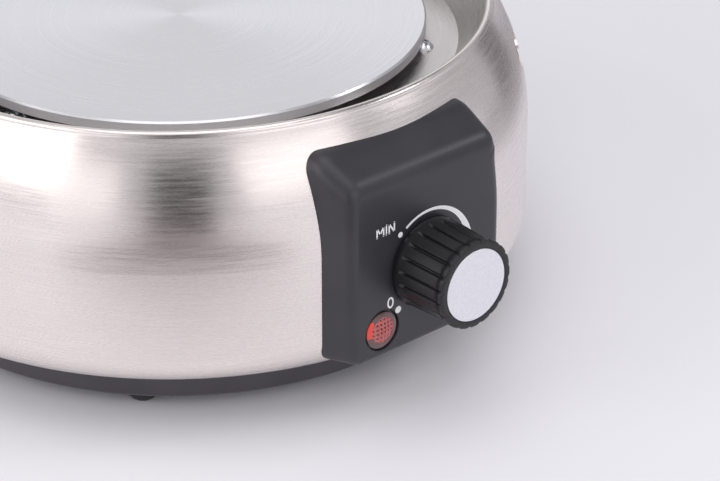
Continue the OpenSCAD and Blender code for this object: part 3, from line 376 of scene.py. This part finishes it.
# The right side stands further out than the left one, and tapers in towards the top, as in the photograph
RIGHT_SHIFT = 1.1
RIGHT_TAPER = 1.25
TAPER_START = 0.15
TAPER_RUN = 0.75
CORNER_STEPS = 8
EDGE_STEPS = 24
ROUND_STEPS = 7
DEPTH_STEPS = 14
DEPTH_MAX = 24.0
HALVINGS = 40
LIP = 2.2
SEAT_R = 5.95
SEAT_BEVEL = 0.18
SEAT_D = 1.2
SEAT_FLOOR_R = 5.2
SEAT_STEPS = 64


def smooth(t):
    """A soft step from 0 to 1."""
    t = max(min(t, 1), 0)
    return t * t * (3 - 2 * t)


def box_outline():
    """Points round the face: a place one corner radius inside it, and the outward direction."""
    centres = [(1, 1), (-1, 1), (-1, -1), (1, -1)]
    points = []
    for q, (sx, sz) in enumerate(centres):
        cx = sx * (FACE_HALF - CORNER_R)
        cz = FACE_TOP - CORNER_R if sz > 0 else FACE_LOW + CORNER_R
        for k in range(CORNER_STEPS + 1):
            a = math.radians(q * 90 + k * 90 / CORNER_STEPS)
            points.append((cx, cz, math.cos(a), math.sin(a)))
        nx, nz = centres[(q + 1) % 4]
        ex = nx * (FACE_HALF - CORNER_R)
        ez = FACE_TOP - CORNER_R if nz > 0 else FACE_LOW + CORNER_R
        a = math.radians(q * 90 + 90)
        for k in range(1, EDGE_STEPS):
            t = k / EDGE_STEPS
            points.append((cx + (ex - cx) * t, cz + (ez - cz) * t, math.cos(a), math.sin(a)))
    return points


def soft_limit(a, b, s=0.55):
    """The smaller of two values, with a soft change from one to the other."""
    return -s * math.log(math.exp(-a / s) + math.exp(-b / s))


def box_point(p, depth, inset):
    """A point on the moulding at a depth behind the front face, inset from its outside."""
    cx, cz, nx, nz = p
    x = cx + nx * CORNER_R
    z = cz + nz * CORNER_R
    reach = max(min(x / (FACE_HALF - 0.2), 1), -1)
    mid = (FACE_TOP + FACE_LOW) / 2
    up = (z - mid) / (FACE_TOP - mid)
    rise = soft_limit(TOP_SLOPE * depth, TOP_LIMIT) if up > 0 else LOW_SLOPE * depth
    weight = min(abs(up) ** RISE_POWER, 1)
    spread = soft_limit(SIDE_SLOPE * depth, SIDE_LIMIT)
    if x > 0:
        spread *= 1 - RIGHT_TAPER * smooth((up - TAPER_START) / TAPER_RUN)
    x += reach * spread - nx * inset + RIGHT_SHIFT * smooth(x / FACE_HALF)
    z += math.copysign(rise * weight, up) - nz * inset
    return x, FACE_Y + depth, z


def edge_round(p):
    """Radius of the front face's edge, by the outward direction."""
    up = p[3]
    return SIDE_ROUND + (TOP_ROUND - SIDE_ROUND) * max(up, 0) + (SIDE_ROUND - LOW_ROUND) * min(up, 0)


def gap_to_shell(point):
    """How far a point is outside the shell, less the gap that stays open."""
    return math.hypot(point[0], point[1]) - shell_radius(point[2]) - SHELL_GAP


def build_box():
    """The whole moulding, with the lamp's sunk seat in its front face."""
    rings = []
    outline = box_outline()
    slopes = []
    probe = 2.0
    for p in outline:
        a = box_point(p, 0.0, 0)
        b = box_point(p, probe, 0)
        slopes.append(max(((b[0] - a[0]) * p[2] + (b[2] - a[2]) * p[3]) / probe, 0))
    for j in range(ROUND_STEPS + 1):
        ring = []
        for p, m in zip(outline, slopes):
            bend = edge_round(p)
            root = math.sqrt(1 + m * m)
            phi = math.acos(m / root) * j / ROUND_STEPS
            depth = bend * (1 - math.cos(phi))
            out = m * bend - bend * root + bend * math.sin(phi)
            ring.append(box_point(p, depth, m * depth - out))
        rings.append(ring)
    ends = []
    starts = []
    for p, m in zip(outline, slopes):
        starts.append(edge_round(p) * (1 - m / math.sqrt(1 + m * m)))
        low, high = starts[-1], DEPTH_MAX
        for halving in range(HALVINGS):
            mid = (low + high) / 2
            if gap_to_shell(box_point(p, mid, 0)) > 0:
                low = mid
            else:
                high = mid
        ends.append(low)
    for k in range(1, DEPTH_STEPS + 1):
        share = k / DEPTH_STEPS
        rings.append([box_point(p, s + (e - s) * share, 0) for p, s, e in zip(outline, starts, ends)])
    lip = []
    for p, e in zip(outline, ends):
        q = box_point(p, e, LIP)
        r = math.hypot(q[0], q[1])
        target = shell_radius(q[2]) + SHELL_GAP
        lip.append((q[0], q[1] * target / r if r > 1 else q[1], q[2]))
    rings.append(lip)
    verts, faces = rings_mesh(rings)
    mesh = bpy.data.meshes.new("control_box_skin")
    mesh.from_pydata([(x * MM, y * MM, z * MM) for x, y, z in verts], [], faces)
    bm = bmesh.new()
    bm.from_mesh(mesh)
    bm.verts.ensure_lookup_table()
    count = len(outline)
    edge_loop = [bm.edges.get((bm.verts[i], bm.verts[(i + 1) % count])) for i in range(count)]
    steps = ((SEAT_R + SEAT_BEVEL, 0.0), (SEAT_R, SEAT_BEVEL), (SEAT_R, SEAT_D), (SEAT_FLOOR_R, SEAT_D))
    loops = []
    for r, d in steps:
        ring = face_circle(LAMP, r, -d, SEAT_STEPS)
        loops.append([bm.verts.new((x * MM, y * MM, z * MM)) for x, y, z in ring])
    first = [bm.edges.new((loops[0][i], loops[0][(i + 1) % SEAT_STEPS])) for i in range(SEAT_STEPS)]
    for a, b in zip(loops, loops[1:]):
        for i in range(SEAT_STEPS):
            j = (i + 1) % SEAT_STEPS
            bm.faces.new((a[i], a[j], b[j], b[i]))
    bm.faces.new(loops[-1])
    bmesh.ops.triangle_fill(bm, edges=edge_loop + first, use_beauty=True)
    bmesh.ops.recalc_face_normals(bm, faces=bm.faces)
    bm.to_mesh(mesh)
    bm.free()
    mesh.shade_smooth()
    mesh.set_sharp_from_angle(angle=math.radians(40))
    obj = bpy.data.objects.new("control_box_skin", mesh)
    bpy.context.scene.collection.objects.link(obj)
    set_material(obj, box_black)
    return obj


box_skin = build_box()
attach(box_skin, "base")
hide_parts("control_box")


# Rim bead: the shell's rolled rim, with a soft bend into the shoulder

BEAD_R = 1.15
RIM_Z = 86.75
BEAD_MID_R = 87.55
BEAD_LIFT = 0.05
BEAD_STEPS = 24
BEAD_START = math.radians(-4)
BEAD_END = math.radians(215)
LATHE_STEPS = 360


def build_bead():
    """A fine lathe over the bead and the top of the shoulder, just outside the solid."""
    profile = [(shell_radius(z) + BEAD_LIFT, z) for z in (81.0, 82.0, 83.0, 84.0, 84.8, 85.5, 86.0, 86.4)]
    r = BEAD_R + BEAD_LIFT
    for k in range(BEAD_STEPS + 1):
        a = BEAD_START + (BEAD_END - BEAD_START) * k / BEAD_STEPS
        profile.append((BEAD_MID_R + r * math.cos(a), RIM_Z + r * math.sin(a)))
    rings = []
    for r, z in profile:
        ring = []
        for i in range(LATHE_STEPS):
            a = 2 * math.pi * i / LATHE_STEPS
            ring.append((r * math.cos(a), r * math.sin(a), z))
        rings.append(ring)
    verts, faces = rings_mesh(rings)
    return make("rim_bead_skin", verts, faces, steel, 60)


bead_skin = build_bead()
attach(bead_skin, "base")


# Knob: fluted body with a scalloped front rim

FLUTES = 20
FLUTE_STEPS = 24
BODY_START = 2.5
BODY_END = 16.3
BODY_STEPS = 15
BODY_R = 12.72
BODY_TAPER = 0.57
GROOVE_DEPTH = 0.9
GROOVE_HALF = 0.42
SCALLOP_DEPTH = 0.24
SCALLOP_HALF = 0.7
POINTER = math.radians(229)
POINTER_RISE = 0.33
POINTER_HALF = 0.75
POINTER_END = 2.1
POINTER_FADE = 0.4
CAP_STEPS = 128


def knob_profile():
    """Stations along the knob: distance from the rear, radius, groove share and scallop share."""
    stations = [(0.0, 12.35, 0, 0), (0.15, 12.6, 0, 0), (0.45, 12.78, 0, 0), (1.6, 12.8, 0, 0),
                (2.0, 12.78, 0, 0), (2.25, 12.74, 0, 0)]
    groove_run = 1.1
    for k in range(BODY_STEPS + 1):
        t = BODY_START + (BODY_END - BODY_START) * k / BODY_STEPS
        radius = BODY_R - BODY_TAPER * (t - BODY_START) / (BODY_END - BODY_START)
        groove = smooth((t - BODY_START) / groove_run)
        stations.append((t, radius, groove, 0))
    stations += [(16.55, 12.3, 0.85, 0.5), (16.75, 12.5, 0.45, 1), (17.0, 12.6, 0.3, 1),
                 (18.1, 12.62, 0.3, 1), (18.4, 12.55, 0.25, 1), (18.6, 12.38, 0.15, 0.9),
                 (KNOB_L, 12.15, 0.05, 0.6), (KNOB_L, 11.4, 0, 0), (KNOB_L, 10.75, 0, 0),
                 (18.62, 10.5, 0, 0), (18.35, 10.4, 0, 0), (17.9, 10.38, 0, 0), (17.9, 9.0, 0, 0)]
    return stations


def build_knob():
    """Rings along the knob, cut by the grooves and the front scallops, with a small pointer at the rear."""
    count = FLUTES * FLUTE_STEPS
    rings = []
    for t, radius, groove, scallop in knob_profile():
        ring = []
        for i in range(count):
            a = 2 * math.pi * i / count
            phase = ((i / FLUTE_STEPS) % 1.0) - 0.5
            arc = abs(phase) * 2 * math.pi * radius / FLUTES
            r = radius
            r -= GROOVE_DEPTH * groove * math.exp(-(arc / GROOVE_HALF) ** 4)
            r -= SCALLOP_DEPTH * scallop * math.exp(-(arc / SCALLOP_HALF) ** 2)
            turn = abs((a - POINTER + math.pi) % (2 * math.pi) - math.pi) * radius
            if t < POINTER_END:
                ends = smooth(t / POINTER_FADE) * smooth((POINTER_END - t) / POINTER_FADE)
                r += POINTER_RISE * math.exp(-(turn / POINTER_HALF) ** 6) * ends
            ring.append(on_face(r * math.cos(a), KNOB_Z + r * math.sin(a), KNOB_GAP + t))
        rings.append(ring)
    verts, faces = rings_mesh(rings, (True, True))
    return make("knob_skin", verts, faces, knob_black, 50)


knob_skin = build_knob()
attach(knob_skin, "knob_body")
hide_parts("knob")


def build_cap():
    """The disc in the knob's end, slightly crowned, with a small turned rim."""
    rings = []
    top = KNOB_GAP + KNOB_L
    stations = ((10.3, -0.6), (10.3, -0.02), (10.22, 0.08), (10.05, 0.13), (9.85, 0.12),
                (9.7, 0.06), (9.4, 0.05), (6.0, 0.09), (2.5, 0.11), (0.02, 0.12))
    for r, rise in stations:
        rings.append(face_circle((0, KNOB_Z), r, top + rise, CAP_STEPS))
    verts, faces = rings_mesh(rings, (True, True))
    return make("cap_skin", verts, faces, cap_metal, 30)


cap_skin = build_cap()
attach(cap_skin, "knob_body")
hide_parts("knob_cap")


# Lamp lens: a low dome with a field of small facets

LENS_R = 5.5
LENS_SHARE = 0.96
LENS_DROP = 0.2
LENS_SINK = 0.35
DOME = 0.9
FACET_PITCH = 1.15
FACET_DEPTH = 0.3
FACET_R = 3.7
FACET_FADE = 0.5
LENS_EDGE_DROP = 0.12
LENS_BACK = -1.1
LENS_STEPS = 120


def lens_height(x, z):
    """Height of the lens over its edge: a low dome with the facets cut into its middle."""
    r = math.hypot(x, z)
    dome = DOME * (1 - (r / LENS_R) ** 2)
    fx = abs(((x / FACET_PITCH) % 1) - 0.5) * 2
    fz = abs(((z / FACET_PITCH) % 1) - 0.5) * 2
    field = 1 - smooth((r - FACET_R) / FACET_FADE)
    return dome - FACET_DEPTH * field * max(fx, fz)


def build_lens():
    """The lens, a little sunk and a little low in its seat."""
    rings = [face_circle((LAMP[0], LAMP[1] - LENS_DROP), LENS_SHARE * LENS_R, LENS_BACK, LENS_STEPS)]
    for r in [LENS_R, 5.48, 5.35, 5.1, 4.8, 4.5] + [4.3 - 0.125 * k for k in range(34)]:
        ring = []
        for i in range(LENS_STEPS):
            a = 2 * math.pi * i / LENS_STEPS
            x, z = r * math.cos(a), r * math.sin(a)
            out = lens_height(x, z) - LENS_SINK - (LENS_EDGE_DROP if r == LENS_R else 0)
            ring.append(on_face(LAMP[0] + LENS_SHARE * x, LAMP[1] - LENS_DROP + LENS_SHARE * z, out))
        rings.append(ring)
    verts, faces = rings_mesh(rings, (True, True))
    return make("lens_skin", verts, faces, lens_red, 25)


lens_skin = build_lens()
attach(lens_skin, "base")
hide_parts("lamp_lens")


# Legends on the front face, drawn as strokes

def stroke(points, width, closed=False):
    """A flat line of constant width with round ends, as 2-D triangles and quads."""
    verts = []
    faces = []
    pts = [Vector(p) for p in points]
    n = len(pts)
    for i, p in enumerate(pts):
        if closed:
            d = (pts[(i + 1) % n] - pts[i - 1]).normalized()
        else:
            a = pts[max(i - 1, 0)]
            b = pts[min(i + 1, n - 1)]
            d = (b - a).normalized()
        side = Vector((-d.y, d.x)) * width / 2
        verts += [p + side, p - side]
    for i in range(n if closed else n - 1):
        j = (i + 1) % n
        faces.append((2 * i, 2 * i + 1, 2 * j + 1, 2 * j))
    if not closed:
        for p in (pts[0], pts[-1]):
            base = len(verts)
            for k in range(12):
                a = k * math.pi / 6
                verts.append(p + Vector((math.cos(a), math.sin(a))) * width / 2)
            faces.append(tuple(range(base, base + 12)))
    return verts, faces


def dot(x, z, r):
    """A filled circle, as 2-D points and one face."""
    points = []
    for k in range(36):
        a = k * math.pi / 18
        points.append(Vector((x + r * math.cos(a), z + r * math.sin(a))))
    return points, [tuple(range(36))]


def letter(kind):
    """Strokes of a letter or figure one unit high."""
    if kind == "M":
        return [[(0, 0), (0, 1)], [(0, 1), (0.42, 0.28)], [(0.42, 0.28), (0.84, 1)],
                [(0.84, 1), (0.84, 0)]], 0.84
    if kind == "I":
        return [[(0, 0), (0, 1)]], 0.0
    if kind == "N":
        return [[(0, 0), (0, 1)], [(0, 1), (0.66, 0)], [(0.66, 0), (0.66, 1)]], 0.66
    if kind == "A":
        return [[(0, 0), (0.38, 1)], [(0.38, 1), (0.76, 0)], [(0.15, 0.35), (0.61, 0.35)]], 0.76
    if kind == "X":
        return [[(0, 0), (0.64, 1)], [(0, 1), (0.64, 0)]], 0.64
    ring = []
    for k in range(24):
        a = k * math.pi / 12
        ring.append((0.31 + 0.31 * math.cos(a), 0.5 + 0.5 * math.sin(a)))
    return [ring], 0.62


LETTER_GAP = 0.36
INK_LIFT = 0.04
ARC_STEPS = 90
ARC_START = 124
ARC_SWEEP = 158
ARC_GROWTH = 0.75


def build_legends():
    """The words, the dots and the growing arc round the knob, just proud of the front face."""
    verts = []
    faces = []

    def add(made):
        points, polys = made
        base = len(verts)
        verts.extend(points)
        faces.extend(tuple(base + i for i in f) for f in polys)

    def write(word, x, z, height, width):
        for kind in word:
            strokes, advance = letter(kind)
            for line in strokes:
                closed = kind == "0"
                add(stroke([(x + px * height, z + pz * height) for px, pz in line], width, closed))
            x += advance * height + LETTER_GAP * height

    write("MIN", -17.5, 57.35, 2.75, 0.48)
    write("0", -13.5, 34.9, 2.85, 0.55)
    write("MAX", 12.6, 26.2, 2.6, 0.55)
    add(dot(-9.21, 55.56, 0.82))
    add(dot(-9.86, 33.21, 1.05))
    inner, outer = [], []
    for k in range(ARC_STEPS + 1):
        t = k / ARC_STEPS
        a = math.radians(ARC_START - t * ARC_SWEEP)
        grow = min(t / ARC_GROWTH, 1)
        r_in = 13.75 + 0.55 * grow
        r_out = 14.5 + 0.5 * grow + 1.8 * grow ** 2.4
        inner.append(Vector((0.8 * (1 - t) + r_in * math.cos(a), KNOB_Z + r_in * math.sin(a))))
        outer.append(Vector((0.8 * (1 - t) + r_out * math.cos(a), KNOB_Z + r_out * math.sin(a))))
    base = len(verts)
    verts.extend(inner + outer)
    outer_base = base + ARC_STEPS + 1
    for k in range(ARC_STEPS):
        faces.append((base + k, base + k + 1, outer_base + k + 1, outer_base + k))
    return make("dial_legends", [on_face(v.x, v.y, INK_LIFT) for v in verts], faces, legend_white, 30)


legends = build_legends()
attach(legends, "base")


# Camera at the photograph's angle

def aim(obj, target):
    """Turns a camera or lamp towards a point."""
    obj.rotation_euler = (Vector(target) - obj.location).to_track_quat("-Z", "Y").to_euler()


cam_data = bpy.data.cameras.new("camera")
camera = bpy.data.objects.new("camera", cam_data)
bpy.context.scene.collection.objects.link(camera)
camera.location = (-0.5135, -0.6541, 0.4517)
aim(camera, camera.location + Vector((0.5866, 0.6592, -0.4702)))
cam_data.sensor_width = 36
cam_data.lens = 160.3
cam_data.clip_start = 0.05
cam_data.clip_end = 50
bpy.context.scene.camera = camera


# Stage: floor, soft light and the dark things that the steel reflects

floor_shader = Shader("floor_paper", Roughness=0.75, IOR=1.3)
floor_cloud = floor_shader.noise(floor_shader.scaled(floor_shader.place(), (4, 4, 4)), 1.0, 2.0)
floor_shader.join(floor_shader.between(floor_cloud, (0.80, 0.795, 0.835), (0.83, 0.825, 0.86)),
                  floor_shader.bsdf.inputs["Base Color"])
mesh = bpy.data.meshes.new("floor")
mesh.from_pydata([(-6, -6, 0), (6, -6, 0), (6, 6, 0), (-6, 6, 0)], [], [(0, 1, 2, 3)])
floor = bpy.data.objects.new("floor", mesh)
bpy.context.scene.collection.objects.link(floor)
set_material(floor, floor_shader.mat)


def reflected_only(name, corners, colour):
    """A flat dull card that only reflections see."""
    made = bpy.data.meshes.new(name)
    made.from_pydata([tuple(c) for c in corners], [], [(0, 1, 2, 3)])
    obj = bpy.data.objects.new(name, made)
    bpy.context.scene.collection.objects.link(obj)
    set_material(obj, Shader(name + "_paint", Base_Color=(*colour, 1), Roughness=0.9).mat)
    obj.visible_camera = False
    obj.visible_diffuse = False
    obj.visible_shadow = False


def card(name, azimuth, distance, width, low, high, colour):
    """An upright card, at an azimuth from the object's middle."""
    a = math.radians(azimuth)
    centre = Vector((math.cos(a), math.sin(a), 0)) * distance
    side = Vector((-math.sin(a), math.cos(a), 0)) * width / 2
    up = Vector((0, 0, 1))
    corners = [centre - side + up * low, centre + side + up * low,
               centre + side + up * high, centre - side + up * high]
    reflected_only(name, corners, colour)


card("photographer", -129, 0.75, 0.25, 0.0, 0.5, (0.02, 0.018, 0.02))
card("table_end", -7, 0.36, 0.1, 0.0, 0.2, (0.2, 0.19, 0.2))
card("dark_ceiling", -19, 0.75, 0.9, 0.76, 1.6, (0.03, 0.028, 0.03))


def floor_card(name, azimuth, near, far, width, colour):
    """A level card just above the floor."""
    a = math.radians(azimuth)
    out = Vector((math.cos(a), math.sin(a), 0))
    side = Vector((-math.sin(a), math.cos(a), 0)) * width / 2
    lift = Vector((0, 0, 0.004))
    corners = [out * near - side + lift, out * near + side + lift,
               out * far + side + lift, out * far - side + lift]
    reflected_only(name, corners, colour)


# Painted shade: darker sheets just over the floor, seen only in reflections, where the floor lies in shade
# in front and to the right
floor_card("photographer_shade", -130, 0.19, 0.75, 0.23, (0.24, 0.205, 0.215))
floor_card("table_shade", -5, 0.22, 0.8, 0.36, (0.4, 0.39, 0.41))


def area(name, location, target, size, power, colour):
    """A soft rectangular lamp."""
    data = bpy.data.lights.new(name, "AREA")
    data.shape = "RECTANGLE"
    data.size, data.size_y = size
    data.energy = power
    data.color = colour
    lamp = bpy.data.objects.new(name, data)
    bpy.context.scene.collection.objects.link(lamp)
    lamp.location = location
    aim(lamp, target)
    return lamp


area("overhead", (-0.2, -0.35, 2.0), (0, -0.05, 0), (1.8, 1.8), 12, (1.0, 0.985, 0.97))
area("left_softbox", (-1.7, 0.3, 0.95), (0, 0, 0.05), (1.3, 1.1), 9, (1.0, 0.97, 0.95))
area("near_left_softbox", (-1.6, -0.6, 0.5), (0, 0, 0.05), (0.7, 0.8), 1.3, (1.0, 0.975, 0.965))
area("front_softbox", (-0.02, -1.7, 0.7), (0, 0, 0.05), (1.2, 0.9), 3.4, (1.0, 0.98, 0.97))
area("back_softbox", (1.15, 1.35, 1.0), (0, 0, 0.08), (1.1, 0.8), 1.4, (0.98, 0.98, 1.0))
area("edge_softbox", (1.2, -0.95, 1.25), (0, -0.1, 0.08), (0.4, 0.4), 3.5, (0.98, 0.98, 1.0))
fill = area("floor_fill", (-0.9, -1.3, 1.0), (-0.05, -0.1, 0), (1.2, 1.0), 8, (1.0, 0.99, 1.0))
fill.visible_glossy = False

world = bpy.data.worlds.new("studio")
bpy.context.scene.world = world
world.use_nodes = True
backdrop = world.node_tree.nodes["Background"]
backdrop.inputs["Color"].default_value = (0.93, 0.93, 0.98, 1)
backdrop.inputs["Strength"].default_value = 0.5

bpy.context.scene.view_settings.view_transform = "Standard"
